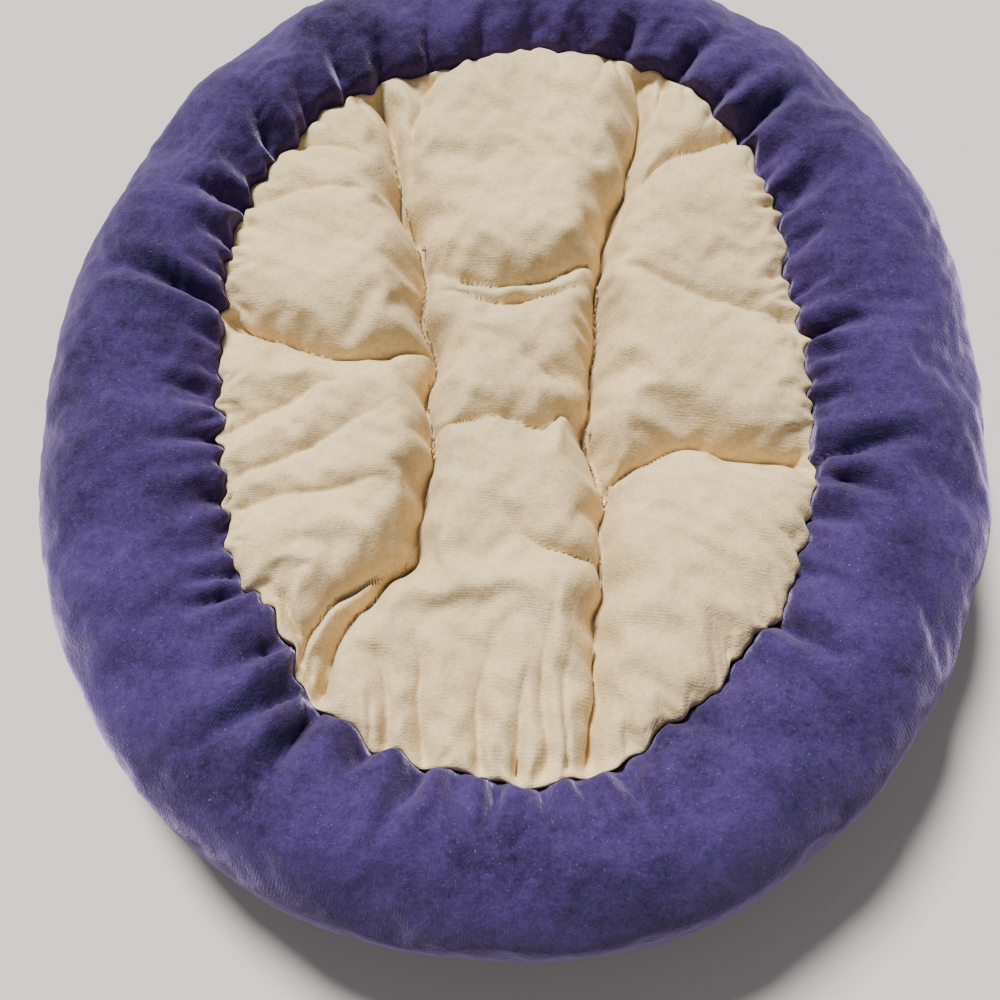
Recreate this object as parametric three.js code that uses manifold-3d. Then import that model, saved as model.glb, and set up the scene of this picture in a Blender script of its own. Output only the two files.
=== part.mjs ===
// An oval bed for a cat or a small dog: a soft pad stitched into three lengthwise channels, and a
// stuffed ring sewn all round its edge. Millimetres. +Z is up and +Y runs to the back of the bed.
// The bed stands on z = 0, and its origin is the middle of the footprint.

import * as THREE from "three";
import { mergeVertices } from "three/addons/utils/BufferGeometryUtils.js";
import Module from "manifold-3d";

const wasm = await Module();
wasm.setup();

// Driving dimensions
const BED_WIDTH = 540;
const BED_LENGTH = 626;
const BED_SQUARENESS = 2.11; // exponent of the outer oval: 2 is an ellipse
const RING_HEIGHT = 96;
const RING_ROUNDNESS = 2.4; // exponent of the ring's cross-section: 2 is an ellipse
const PAD_WIDTH = 326; // across the inner seam, where pad and ring are sewn together
const PAD_LENGTH = 436;
const PAD_SQUARENESS = 2.3;
const SEAM_HEIGHT = 46; // the inner seam lies halfway up
const SEAM_ALLOWANCE = 8;
const PAD_CROWN = 76; // highest part of the pad
const TOP_SHOULDER = 0.24; // share of the way in over which the top panel rises to its crown
const BASE_SHOULDER = 0.3; // share of the way in over which the base panel comes down to the floor
const CHANNEL_LINE = 50; // the two stitched lines lie this far left and right of the middle
const LINE_HEIGHT = 26; // top panel where a stitched line pulls it down
const GROOVE_HALF_WIDTH = 11; // groove along a stitched line in the top panel
const BASE_LIFT = 12; // base panel where a stitched line pulls it up
const BASE_GROOVE = 16; // half width of the groove in the base panel
const TACK_BACK = 84; // the four tacks, along the length
const TACK_FRONT = -38;
const NEEDLE_RADIUS = 1.6;
const TACK_RADIUS = 1.1; // the twisted thread of a tack
const KNOT_RADIUS = 1.9;
const KNOT_HEIGHT = 2; // a tack is knotted above the top panel and below the base panel
const KNOT_CORNER = 0.3;
const CLOTH = 1.8; // pile fabric, backing included
const GAP = 0.3; // clearance between pieces that touch
const FILL_GAP = 4; // room between the fibre and a panel
const THREAD_RADIUS = 0.5;
const SEAM_THREAD_OFFSET = 5; // the seam's threads lie this far outside the seam, in its allowance
const SEAM_THREAD_RISE = 3.2; // and this far above and below it
const STITCH_CLEARANCE = 2.8; // a row of stitches lies this far above the bottom of its groove
const STITCH_REACH = 0.8; // share of its line that a row of stitches covers
const TACK_DETOUR = 2.6; // a row of stitches passes a tack at this distance
const SLIT_STITCH_HALF = 2.4; // half the width of the hand stitches on the filling slit

// Resolution
const SECTORS = 48; // steps round the ring
const ROWS = 16; // steps along the pad
const SIDE_COLUMNS = 9; // steps across one side channel
const MIDDLE_COLUMNS = 8; // steps across the middle channel

const COLOURS = {
  bolster: 0x4a4080,
  pad: 0xcbbd9f,
  fibre: 0xf0efea,
  bolsterThread: 0x3c3470,
  padThread: 0xc9bb9c,
};

// ---------- shapes shared by the pieces ----------

const clamp = (value) => Math.min(1, Math.max(0, value));

// Radius of an oval (a superellipse) at an angle round the bed.
function ovalRadius(angle, width, length, squareness) {
  const across = Math.abs((2 * Math.cos(angle)) / width) ** squareness;
  const along = Math.abs((2 * Math.sin(angle)) / length) ** squareness;
  return (across + along) ** (-1 / squareness);
}

const outerRadius = (angle) => ovalRadius(angle, BED_WIDTH, BED_LENGTH, BED_SQUARENESS);
const seamRadius = (angle) => ovalRadius(angle, PAD_WIDTH, PAD_LENGTH, PAD_SQUARENESS);

// How far in from the inner seam a point lies: 0 on the seam, 1 at the middle of the pad.
function inward(x, y) {
  return 1 - Math.hypot(x, y) / seamRadius(Math.atan2(y, x));
}

// 0 on the seam, swelling to 1 once the point is `shoulder` inward.
function swell(x, y, shoulder) {
  const t = clamp(inward(x, y) / shoulder);
  return t * (2 - t);
}

const fromLine = (x) => Math.abs(Math.abs(x) - CHANNEL_LINE);

// Upper side of the top panel: a crown that the two stitched lines pull down into grooves.
function topHeight(x, y) {
  const rise = swell(x, y, TOP_SHOULDER);
  const edge = SEAM_HEIGHT + GAP + CLOTH;
  const crown = edge + (PAD_CROWN - edge) * rise;
  const pull = rise * Math.exp(-((fromLine(x) / GROOVE_HALF_WIDTH) ** 4));
  return crown + (LINE_HEIGHT - crown) * pull;
}

// Lower side of the base panel: flat on the floor, lifted to the seam and along the stitched lines.
function baseHeight(x, y) {
  const rise = swell(x, y, BASE_SHOULDER);
  const groove = (1 - clamp(fromLine(x) / BASE_GROOVE) ** 2) ** 2;
  return (SEAM_HEIGHT - GAP - CLOTH) * (1 - rise) + BASE_LIFT * groove * rise;
}

// Cross-section of the ring at an angle, as [radius, height] points: a round-cornered loop that
// stands on the floor, inset from the outside of the cover, from turn `first` to turn `last`.
// Turn 0 is the seam, a quarter turn is the crest and a half turn is the outer side.
function ringSection(angle, inset, first, last, steps) {
  const inner = seamRadius(angle);
  const outer = outerRadius(angle);
  const middle = (inner + outer) / 2;
  const halfWidth = (outer - inner) / 2 - inset;
  const halfHeight = RING_HEIGHT - SEAM_HEIGHT - inset;
  return Array.from({ length: steps + 1 }, (_, i) => {
    const turn = 2 * Math.PI * (first + ((last - first) * i) / steps);
    const c = Math.cos(turn);
    const s = Math.sin(turn);
    const k = (Math.abs(c) ** RING_ROUNDNESS + Math.abs(s) ** RING_ROUNDNESS) ** (-1 / RING_ROUNDNESS);
    return [middle - halfWidth * k * c, Math.max(inset, SEAM_HEIGHT + halfHeight * k * s)];
  });
}

// ---------- builders ----------

function geometryFrom(points, faces) {
  const geometry = new THREE.BufferGeometry();
  geometry.setAttribute("position", new THREE.Float32BufferAttribute(points.flat(), 3));
  geometry.setIndex(faces.flat());
  geometry.computeVertexNormals();
  return geometry;
}

// A closed section carried once round the bed. sectionAt(angle) gives [radius, height] points that
// run up the inner side, over the top and down the outer side.
function ringGeometry(sectionAt) {
  const points = [];
  const faces = [];
  let count = 0;
  for (let i = 0; i < SECTORS; i++) {
    const angle = (2 * Math.PI * i) / SECTORS;
    const section = sectionAt(angle);
    count = section.length;
    for (const [radius, height] of section) {
      points.push([radius * Math.cos(angle), radius * Math.sin(angle), height]);
    }
  }
  for (let i = 0; i < SECTORS; i++) {
    for (let j = 0; j < count; j++) {
      const here = i * count;
      const next = ((i + 1) % SECTORS) * count;
      const k = (j + 1) % count;
      faces.push([here + j, here + k, next + j], [here + k, next + k, next + j]);
    }
  }
  return geometryFrom(points, faces);
}

// Places across one channel, closer together near both of its sides.
function stations(from, to, steps) {
  const crowding = 0.75; // 0 is an even spread
  return Array.from({ length: steps }, (_, i) => {
    const t = i / steps;
    return from + (to - from) * (t - (crowding * Math.sin(2 * Math.PI * t)) / (2 * Math.PI));
  });
}

// The solid between two height functions over the pad's oval, shrunk by `scale`.
// Columns run along the bed, so that the stitched lines are edges of the mesh.
function layerGeometry(scale, upper, lower) {
  const halfWidth = (PAD_WIDTH / 2) * scale;
  const tip = halfWidth * 0.998; // both tips are short end walls
  const between = [
    ...stations(-PAD_WIDTH / 2, -CHANNEL_LINE, SIDE_COLUMNS),
    ...stations(-CHANNEL_LINE, CHANNEL_LINE, MIDDLE_COLUMNS),
    ...stations(CHANNEL_LINE, PAD_WIDTH / 2, SIDE_COLUMNS),
  ].filter((x) => Math.abs(x) < tip - 1);
  const columns = [-tip, ...between, tip];
  const points = [];
  const faces = [];
  const quad = (a, b, c, d) => faces.push([a, b, c], [a, c, d]);
  const top = (i, j) => 2 * (i * (ROWS + 1) + j);
  const under = (i, j) => top(i, j) + 1;
  for (const x of columns) {
    const share = (1 - (Math.abs(x) / halfWidth) ** PAD_SQUARENESS) ** (1 / PAD_SQUARENESS);
    for (let j = 0; j <= ROWS; j++) {
      const y = (PAD_LENGTH / 2) * scale * share * Math.sin(Math.PI * (j / ROWS - 0.5));
      points.push([x, y, upper(x, y)], [x, y, lower(x, y)]);
    }
  }
  const last = columns.length - 1;
  for (let i = 0; i < last; i++) {
    for (let j = 0; j < ROWS; j++) {
      quad(top(i, j), top(i + 1, j), top(i + 1, j + 1), top(i, j + 1));
      quad(under(i, j), under(i, j + 1), under(i + 1, j + 1), under(i + 1, j));
    }
    quad(under(i, 0), under(i + 1, 0), top(i + 1, 0), top(i, 0));
    quad(under(i + 1, ROWS), under(i, ROWS), top(i, ROWS), top(i + 1, ROWS));
  }
  for (let j = 0; j < ROWS; j++) {
    quad(under(0, j + 1), under(0, j), top(0, j), top(0, j + 1));
    quad(under(last, j), under(last, j + 1), top(last, j + 1), top(last, j));
  }
  return geometryFrom(points, faces);
}

// A thread laid along points, as a tube with six sides.
function threadGeometry(points, steps) {
  const path = new THREE.CatmullRomCurve3(points.map((point) => new THREE.Vector3(...point)));
  const section = new THREE.Shape();
  section.absarc(0, 0, THREAD_RADIUS, 0, 2 * Math.PI);
  return new THREE.ExtrudeGeometry(section, { steps, curveSegments: 3, extrudePath: path });
}

// ---------- joining and cutting ----------

function solid(geometry) {
  const bare = geometry.clone();
  bare.deleteAttribute("normal");
  bare.deleteAttribute("uv");
  const merged = mergeVertices(bare, 1e-3);
  return new wasm.Manifold(
    new wasm.Mesh({
      numProp: 3,
      vertProperties: new Float32Array(merged.attributes.position.array),
      triVerts: new Uint32Array(merged.index.array),
    }),
  );
}

function geometryOf(manifold) {
  const mesh = manifold.getMesh();
  const geometry = new THREE.BufferGeometry();
  geometry.setAttribute("position", new THREE.BufferAttribute(mesh.vertProperties, 3));
  geometry.setIndex(new THREE.BufferAttribute(mesh.triVerts, 1));
  geometry.computeVertexNormals();
  return geometry;
}

const tackPlaces = {
  back_left: [-CHANNEL_LINE, TACK_BACK],
  back_right: [CHANNEL_LINE, TACK_BACK],
  front_left: [-CHANNEL_LINE, TACK_FRONT],
  front_right: [CHANNEL_LINE, TACK_FRONT],
};

// A panel with a needle hole at each tack.
function withTackHoles(manifold) {
  return Object.values(tackPlaces).reduce((rest, [x, y]) => {
    const needle = new THREE.CylinderGeometry(NEEDLE_RADIUS, NEEDLE_RADIUS, 2 * RING_HEIGHT, 10);
    needle.rotateX(Math.PI / 2);
    needle.translate(x, y, 0);
    return rest.subtract(solid(needle));
  }, manifold);
}

// The flat edge of a panel that is turned into the ring: an oval band that starts inside the dome.
function allowanceGeometry(height) {
  const overlap = 2;
  const band = (angle) => {
    const seam = seamRadius(angle);
    const inner = seam - overlap;
    const outer = seam + SEAM_ALLOWANCE;
    return [[inner, height], [inner, height + CLOTH], [outer, height + CLOTH], [outer, height]];
  };
  return ringGeometry(band);
}

// ---------- pieces ----------

// Velour strip, wrapped over the ring from the seam, round the outside and back under to the seam.
// Its two edges stay apart at the seam, where the panels' allowances pass between them.
function bolsterCover() {
  const first = 0.015;
  const steps = 20;
  return ringGeometry((angle) => {
    const outside = ringSection(angle, 0, first, 1 - first, steps);
    const inside = ringSection(angle, CLOTH, first, 1 - first, steps);
    return [...outside, ...inside.reverse()];
  });
}

// Polyester fibre, flattened on its inner side where the seam allowances lie.
function bolsterFill() {
  const first = 0.03;
  const room = 3; // between the fibre and the edge of the allowances
  return ringGeometry((angle) => {
    const nearest = seamRadius(angle) + SEAM_ALLOWANCE + room;
    const loop = ringSection(angle, CLOTH + FILL_GAP, first, 1 - first, 16);
    return loop.map(([radius, height]) => [Math.max(radius, nearest), height]);
  });
}

function padTopPanel() {
  const dome = solid(layerGeometry(1, topHeight, (x, y) => topHeight(x, y) - CLOTH));
  return geometryOf(withTackHoles(dome.add(solid(allowanceGeometry(SEAM_HEIGHT + GAP)))));
}

function padBasePanel() {
  const tray = solid(layerGeometry(1, (x, y) => baseHeight(x, y) + CLOTH, baseHeight));
  return geometryOf(withTackHoles(tray.add(solid(allowanceGeometry(SEAM_HEIGHT - GAP - CLOTH)))));
}

// Fibre of one channel, cut from the hollow between the panels.
function padFill(from, to) {
  const skin = CLOTH + FILL_GAP;
  const shrink = 0.93; // keeps the fibre clear of the seam all round
  const hollow = layerGeometry(shrink, (x, y) => topHeight(x, y) - skin, (x, y) => baseHeight(x, y) + skin);
  const slab = new THREE.BoxGeometry(to - from, BED_LENGTH, 2 * RING_HEIGHT);
  slab.translate((from + to) / 2, 0, 0);
  return geometryOf(solid(hollow).intersect(solid(slab)));
}

// Row of lockstitches in the bottom of a groove, passing beside the tacks.
function channelStitch(line) {
  const count = 33;
  const bend = 8; // length of the detour round a tack
  const reach = seamRadius(Math.atan2(PAD_LENGTH / 2, CHANNEL_LINE)) * STITCH_REACH;
  const points = Array.from({ length: count }, (_, i) => {
    const y = reach * Math.sin(Math.PI * (i / (count - 1) - 0.5));
    const near = (place) => Math.exp(-(((y - place) / bend) ** 2));
    const x = line + TACK_DETOUR * (near(TACK_BACK) + near(TACK_FRONT));
    return [x, y, topHeight(x, y) + STITCH_CLEARANCE];
  });
  return threadGeometry(points, 48);
}

// Twisted thread knotted above and below, which holds both panels together.
function tack(x, y) {
  const rise = 0.4; // a knot stands this far clear of its panel
  const top = topHeight(x, y) + rise + KNOT_HEIGHT;
  const bottom = baseHeight(x, y) - rise - KNOT_HEIGHT;
  const halfProfile = [
    [0, top],
    [KNOT_RADIUS - KNOT_CORNER, top],
    [KNOT_RADIUS, top - KNOT_HEIGHT / 2],
    [TACK_RADIUS, top - KNOT_HEIGHT],
    [TACK_RADIUS, bottom + KNOT_HEIGHT],
    [KNOT_RADIUS, bottom + KNOT_HEIGHT / 2],
    [KNOT_RADIUS - KNOT_CORNER, bottom],
    [0, bottom],
  ];
  const profile = halfProfile.reverse().map(([radius, height]) => new THREE.Vector2(radius, height));
  const geometry = new THREE.LatheGeometry(profile, 10);
  geometry.rotateX(Math.PI / 2);
  geometry.translate(x, y, 0);
  return geometry;
}

// A thread that runs once round the inner seam, just inside the ring.
function seamThread(height) {
  return ringGeometry((angle) => {
    const radius = seamRadius(angle) + SEAM_THREAD_OFFSET;
    return Array.from({ length: 6 }, (_, i) => {
      const turn = (-Math.PI * i) / 3 + Math.PI;
      return [radius + THREAD_RADIUS * Math.cos(turn), height + THREAD_RADIUS * Math.sin(turn)];
    });
  });
}

const FRONT = -Math.PI / 2;

// Seam that joins the two ends of the velour strip at the front, seen from inside the cover.
function stripEndSeam() {
  const inset = CLOTH + 2; // halfway between the cover and the fibre
  const first = 0.06;
  const loop = ringSection(FRONT, inset, first, 1 - first, 40);
  return threadGeometry(loop.map(([radius, height]) => [0, -radius, height]), 40);
}

// Hand stitches that close the filling slit beside the seam at the front.
function slitStitches() {
  const outset = 2 * THREAD_RADIUS + 0.1; // the thread lies on the velour
  const line = ringSection(FRONT, -outset, 0.05, 0.15, 14);
  const points = line.map(([radius, height], i) => {
    return [i % 2 ? SLIT_STITCH_HALF : -SLIT_STITCH_HALF, -radius, height];
  });
  return threadGeometry(points, 3 * (points.length - 1));
}

// ---------- assembly ----------

const bed = new THREE.Group();

function add(name, geometry, color, roughness) {
  const mesh = new THREE.Mesh(geometry, new THREE.MeshStandardMaterial({ color, roughness, metalness: 0 }));
  mesh.name = name;
  bed.add(mesh);
}

const half = PAD_WIDTH / 2;
const lineRoom = 3; // between a stitched line and the fibre on either side
const sideOfLine = CHANNEL_LINE + lineRoom;
const middleOfLine = CHANNEL_LINE - lineRoom;

add("bolster_cover", bolsterCover(), COLOURS.bolster, 0.95);
add("bolster_fill", bolsterFill(), COLOURS.fibre, 1);
add("pad_top_panel", padTopPanel(), COLOURS.pad, 0.95);
add("pad_base_panel", padBasePanel(), COLOURS.pad, 0.95);
add("pad_fill_left", padFill(-half, -sideOfLine), COLOURS.fibre, 1);
add("pad_fill_centre", padFill(-middleOfLine, middleOfLine), COLOURS.fibre, 1);
add("pad_fill_right", padFill(sideOfLine, half), COLOURS.fibre, 1);
add("channel_stitch_left", channelStitch(-CHANNEL_LINE), COLOURS.padThread, 0.8);
add("channel_stitch_right", channelStitch(CHANNEL_LINE), COLOURS.padThread, 0.8);
for (const [place, [x, y]] of Object.entries(tackPlaces)) {
  add("tack_" + place, tack(x, y), COLOURS.padThread, 0.8);
}
add("ring_seam_thread", seamThread(SEAM_HEIGHT + SEAM_THREAD_RISE), COLOURS.bolsterThread, 0.8);
add("gathering_thread", seamThread(SEAM_HEIGHT - SEAM_THREAD_RISE), COLOURS.bolsterThread, 0.8);
add("strip_end_seam_thread", stripEndSeam(), COLOURS.bolsterThread, 0.8);
add("filling_slit_stitches", slitStitches(), COLOURS.bolsterThread, 0.8);

export default bed;
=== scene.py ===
import math

import bpy
import numpy as np
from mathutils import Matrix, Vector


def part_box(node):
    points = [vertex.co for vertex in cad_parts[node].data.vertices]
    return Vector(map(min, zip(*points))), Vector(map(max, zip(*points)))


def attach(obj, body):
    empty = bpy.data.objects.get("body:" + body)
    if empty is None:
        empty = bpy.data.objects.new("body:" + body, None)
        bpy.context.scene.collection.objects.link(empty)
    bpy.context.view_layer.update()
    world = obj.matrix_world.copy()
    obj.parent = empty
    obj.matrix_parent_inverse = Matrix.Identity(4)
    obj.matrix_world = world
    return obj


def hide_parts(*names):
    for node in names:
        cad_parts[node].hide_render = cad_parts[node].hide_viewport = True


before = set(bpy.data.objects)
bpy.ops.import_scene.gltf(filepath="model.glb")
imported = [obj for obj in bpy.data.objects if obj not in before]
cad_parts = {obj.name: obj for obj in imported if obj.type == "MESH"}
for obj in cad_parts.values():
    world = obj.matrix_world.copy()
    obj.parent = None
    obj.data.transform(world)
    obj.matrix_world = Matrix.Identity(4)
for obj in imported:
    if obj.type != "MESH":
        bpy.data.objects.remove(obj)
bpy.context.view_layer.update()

MM = 0.001

# ---------------------------------------------------------------------------------------------
# The floor, the light and the view
# A pale matt floor in a pale room, an even soft key light from behind on the left, a weak one
# from the front, and a view from above the bed's front edge that leans back by 21.5 degrees.
# ---------------------------------------------------------------------------------------------
FLOOR_SIZE = 60.0
KEY_STRENGTH = 8.6
KEY_SOFTNESS = math.radians(14)
FRONT_POWER = 3.5
FRONT_SIZE = 1.4
FLOOR_COLOUR = (0.56, 0.545, 0.52, 1)
VIEW_HEIGHT = 573 * MM
VIEW_FORWARD = 282 * MM
VIEW_RIGHT = 12 * MM
VIEW_LEAN = math.radians(21.5)
VIEW_TURN = math.radians(4.35)


def plain_material(name, colour, roughness):
    """A Principled material of one colour, for the floor only."""
    made = bpy.data.materials.new(name)
    made.use_nodes = True
    shader = made.node_tree.nodes["Principled BSDF"]
    shader.inputs["Base Color"].default_value = colour
    shader.inputs["Roughness"].default_value = roughness
    return made


def add_light(name, kind, place, strength, colour):
    """A light of a kind at place that faces the bed."""
    data = bpy.data.lights.new(name, kind)
    data.energy = strength
    data.color = colour
    lamp = bpy.data.objects.new(name, data)
    bpy.context.scene.collection.objects.link(lamp)
    lamp.location = place
    lamp.rotation_euler = (-Vector(place)).to_track_quat("-Z", "Y").to_euler()
    return data


floor_mesh = bpy.data.meshes.new("floor")
half_floor = FLOOR_SIZE / 2
floor_mesh.from_pydata(
    [(x * half_floor, y * half_floor, 0) for x, y in ((-1, -1), (1, -1), (1, 1), (-1, 1))],
    [],
    [(0, 1, 2, 3)],
)
floor = bpy.data.objects.new("floor", floor_mesh)
floor.location.z = -0.0005
floor_mesh.materials.append(plain_material("pale_floor", FLOOR_COLOUR, 0.9))
bpy.context.scene.collection.objects.link(floor)

add_light("key_light", "SUN", (-0.42, 0.76, 1.07), KEY_STRENGTH, (1.0, 0.96, 0.9)).angle = KEY_SOFTNESS
add_light("front_light", "AREA", (0.3, -1.2, 1.6), FRONT_POWER, (1.0, 0.98, 0.96)).size = FRONT_SIZE

# The room is paler to the eye than the light it gives, so that the shadows keep their depth.
world = bpy.data.worlds.new("studio")
world.use_nodes = True
room = world.node_tree
room_light = room.nodes["Background"]
room_light.inputs["Color"].default_value = (0.95, 0.95, 1.0, 1)
room_light.inputs["Strength"].default_value = 0.2
seen_wall = room.nodes.new("ShaderNodeBackground")
seen_wall.inputs["Color"].default_value = (0.95, 0.94, 0.92, 1)
seen_wall.inputs["Strength"].default_value = 0.9
seen_directly = room.nodes.new("ShaderNodeLightPath")
room_mix = room.nodes.new("ShaderNodeMixShader")
room.links.new(seen_directly.outputs["Is Camera Ray"], room_mix.inputs[0])
room.links.new(room_light.outputs[0], room_mix.inputs[1])
room.links.new(seen_wall.outputs[0], room_mix.inputs[2])
room.links.new(room_mix.outputs[0], room.nodes["World Output"].inputs["Surface"])
bpy.context.scene.world = world

view_data = bpy.data.cameras.new("view")
view_data.sensor_width = 36.0
view_data.lens = 36.0
view = bpy.data.objects.new("view", view_data)
bpy.context.scene.collection.objects.link(view)
view.location = (VIEW_RIGHT, -VIEW_FORWARD, VIEW_HEIGHT)
view.rotation_euler = (VIEW_LEAN, 0, VIEW_TURN)
bpy.context.scene.camera = view

# ---------------------------------------------------------------------------------------------
# The ring's cover
# One strip of violet-blue velour, wrapped over the stuffed ring and back under to the inner
# seam. It is longer than the seam, so it is gathered there, and folds run out from the seam.
# ---------------------------------------------------------------------------------------------
ring_low, ring_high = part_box("bolster_cover")
panel_low, panel_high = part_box("pad_top_panel")
SEAM_ALLOWANCE = 8 * MM
SEAM_Z = 46 * MM
RING_SQUARENESS = 2.11
SEAM_SQUARENESS = 2.3
TUBE_SQUARENESS = 2.05
RING_STEPS = 640
TUBE_STEPS = 132
seam_half_width = panel_high.x - SEAM_ALLOWANCE
seam_half_length = panel_high.y - SEAM_ALLOWANCE


def oval_radius(angle, half_width, half_length, squareness):
    """Radius of an oval at an angle: (|cos / half width|^n + |sin / half length|^n)^(-1/n)."""
    across = np.abs(np.cos(angle) / half_width) ** squareness
    along = np.abs(np.sin(angle) / half_length) ** squareness
    return (across + along) ** (-1 / squareness)


def seam_radius(angle):
    """Radius of the inner seam, where pad and ring are sewn together, at an angle."""
    return oval_radius(angle, seam_half_width, seam_half_length, SEAM_SQUARENESS)


def waves(points, shortest, longest, count, seed):
    """Smooth unevenness from -1 to 1 or so: a sum of cosines that run in random directions,
    with wavelengths between shortest and longest, divided by the root of their number."""
    draw = np.random.default_rng(seed)
    total = np.zeros(points.shape[:-1])
    for _ in range(count):
        way = draw.normal(size=3)
        wavelength = shortest * (longest / shortest) ** draw.random()
        way *= 2 * np.pi / wavelength / np.linalg.norm(way)
        total += np.cos(points @ way + draw.random() * 2 * np.pi)
    return total * math.sqrt(2 / count)


def smooth_step(value):
    """0 below 0, 1 above 1, and 3v^2 - 2v^3 between."""
    v = np.clip(value, 0, 1)
    return v * v * (3 - 2 * v)


def grid_normals(points, closed_rows, closed_columns):
    """Unit normal at each grid point: the cross product of the differences along both ways."""

    def slope(axis, closed):
        if closed:
            return np.roll(points, -1, axis) - np.roll(points, 1, axis)
        return np.gradient(points, axis=axis)

    normal = np.cross(slope(0, closed_rows), slope(1, closed_columns))
    return normal / np.maximum(np.linalg.norm(normal, axis=-1, keepdims=True), 1e-12)


def lengths_along(points, axis):
    """Distance along the grid from its first line, in metres, for each point."""
    steps = np.linalg.norm(np.diff(points, axis=axis), axis=-1)
    start = np.zeros_like(np.take(steps, [0], axis))
    return np.concatenate([start, np.cumsum(steps, axis)], axis)


def grid_object(name, points, closed_rows=False, closed_columns=False, cloth_map=None):
    """A smooth mesh object with a quad between each four neighbours of a grid of points, and a
    UV map in metres. Closed ways join the last line to the first."""
    rows, columns = points.shape[:2]
    row = np.arange(rows if closed_rows else rows - 1)[:, None]
    column = np.arange(columns if closed_columns else columns - 1)[None, :]
    corners = [(row, column), (row + 1, column), (row + 1, column + 1), (row, column + 1)]
    faces = np.stack([(r % rows) * columns + c % columns for r, c in corners], -1).reshape(-1, 4)
    mesh = bpy.data.meshes.new(name)
    mesh.vertices.add(rows * columns)
    mesh.vertices.foreach_set("co", points.astype(np.float32).ravel())
    mesh.loops.add(faces.size)
    mesh.loops.foreach_set("vertex_index", faces.astype(np.int32).ravel())
    mesh.polygons.add(len(faces))
    mesh.polygons.foreach_set("loop_start", np.arange(0, faces.size, 4, dtype=np.int32))
    mesh.update(calc_edges=True)
    mesh.shade_smooth()
    if cloth_map is not None:
        places = np.stack([cloth_map[r, c] for r, c in corners], -2).reshape(-1, 2)
        mesh.uv_layers.new(name="cloth").data.foreach_set("uv", places.astype(np.float32).ravel())
    made = bpy.data.objects.new(name, mesh)
    bpy.context.scene.collection.objects.link(made)
    return made


# How far the line where ring and pad touch lies outside the seam, a finger's width above it:
# angle in degrees, anticlockwise from the right, and offset in millimetres.
TOUCH_LINE = [
    (-180, 7), (-168, 2), (-160, -1), (-150, -2), (-138, 0), (-132, 1), (-127, -9), (-120, -3), (-115, 5),
    (-108, 7), (-100, 11), (-94, 11), (-87, 16), (-80, 15), (-72, 12), (-66, 4), (-59, 5), (-52, 5), (-44, 9),
    (-36, 9), (-27, 9), (-18, 7), (-6, 4), (6, 2), (14, 0), (23, -2), (32, 2), (40, 5), (49, 9), (58, 12),
    (66, 17), (72, 18), (77, 14), (83, 13), (90, 11), (98, 6), (104, 2), (111, 3), (116, 11), (124, 16),
    (134, 16), (146, 20), (155, 18), (164, 14), (172, 10), (180, 7),
]
TOUCH_RISE = 16 * MM
TOUCH_REACH = 62 * MM
SCALLOP_DEPTH = 1.4 * MM
SOFT_EDGE = 0.8 * MM


def soft_limit(value, rounding):
    """Never below 0: the mean of the value and its length with the rounding, which is 0 far
    below, the value itself far above, and a smooth bend between."""
    return (value + np.sqrt(value**2 + rounding**2)) / 2


def touch_shift(angle, height):
    """How far the touching faces of ring and pad lie outside the seam at an angle and a height:
    the touch line's offset with small scallops, coming in over the first 16 mm above the seam."""
    at, offset = np.radians([a for a, _ in TOUCH_LINE]), np.array([o for _, o in TOUCH_LINE]) * MM
    seam = seam_radius(angle)[..., None] * np.stack([np.cos(angle), np.sin(angle), 0 * angle], -1)
    scallops = SCALLOP_DEPTH * waves(seam, 9 * MM, 26 * MM, 14, 3)
    return (np.interp(angle, at, offset) + scallops) * smooth_step((height - SEAM_Z) / TOUCH_RISE)


def lean_to_touch(points):
    """Moves points outwards or inwards with the touching faces: in full at the seam in plan, and
    less the further away they are."""
    angle = np.arctan2(points[..., 1], points[..., 0])
    away = np.abs(np.hypot(points[..., 0], points[..., 1]) - seam_radius(angle))
    shift = touch_shift(angle, points[..., 2]) * (1 - smooth_step(away / TOUCH_REACH))
    moved = points.copy()
    moved[..., 0] += shift * np.cos(angle)
    moved[..., 1] += shift * np.sin(angle)
    return moved


def keep_apart(points, side):
    """Presses the points that went through the touching faces flat against them: side is 1 for
    the ring, outside them, and -1 for the pad, inside them."""
    angle = np.arctan2(points[..., 1], points[..., 0])
    radius = np.hypot(points[..., 0], points[..., 1])
    face = seam_radius(angle) + touch_shift(angle, points[..., 2])
    pressed = face + side * (0.1 * MM + soft_limit(side * (radius - face), SOFT_EDGE))
    kept = points.copy()
    kept[..., :2] *= (pressed / np.maximum(radius, 1e-9))[..., None]
    return kept


def mesh_points(piece, shape):
    """The points of a grid object's mesh, back in the shape of their grid."""
    points = np.empty(len(piece.data.vertices) * 3, np.float32)
    piece.data.vertices.foreach_get("co", points)
    return points.astype(float).reshape(shape)


def set_points(piece, points):
    """Puts a grid's points back into its object's mesh."""
    piece.data.vertices.foreach_set("co", points.astype(np.float32).ravel())
    piece.data.update()


def soften(field, passes):
    """Evens out a grid of vectors: each pass replaces a value by the mean of itself, twice, and
    its neighbours along one way and then along the other."""
    for _ in range(passes):
        for axis in (0, 1):
            edge = np.concatenate([np.take(field, [0], axis), field, np.take(field, [-1], axis)], axis)
            count = field.shape[axis]
            before, after = np.take(edge, range(count), axis), np.take(edge, range(2, count + 2), axis)
            field = (before + 2 * field + after) / 4
    return field


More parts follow.
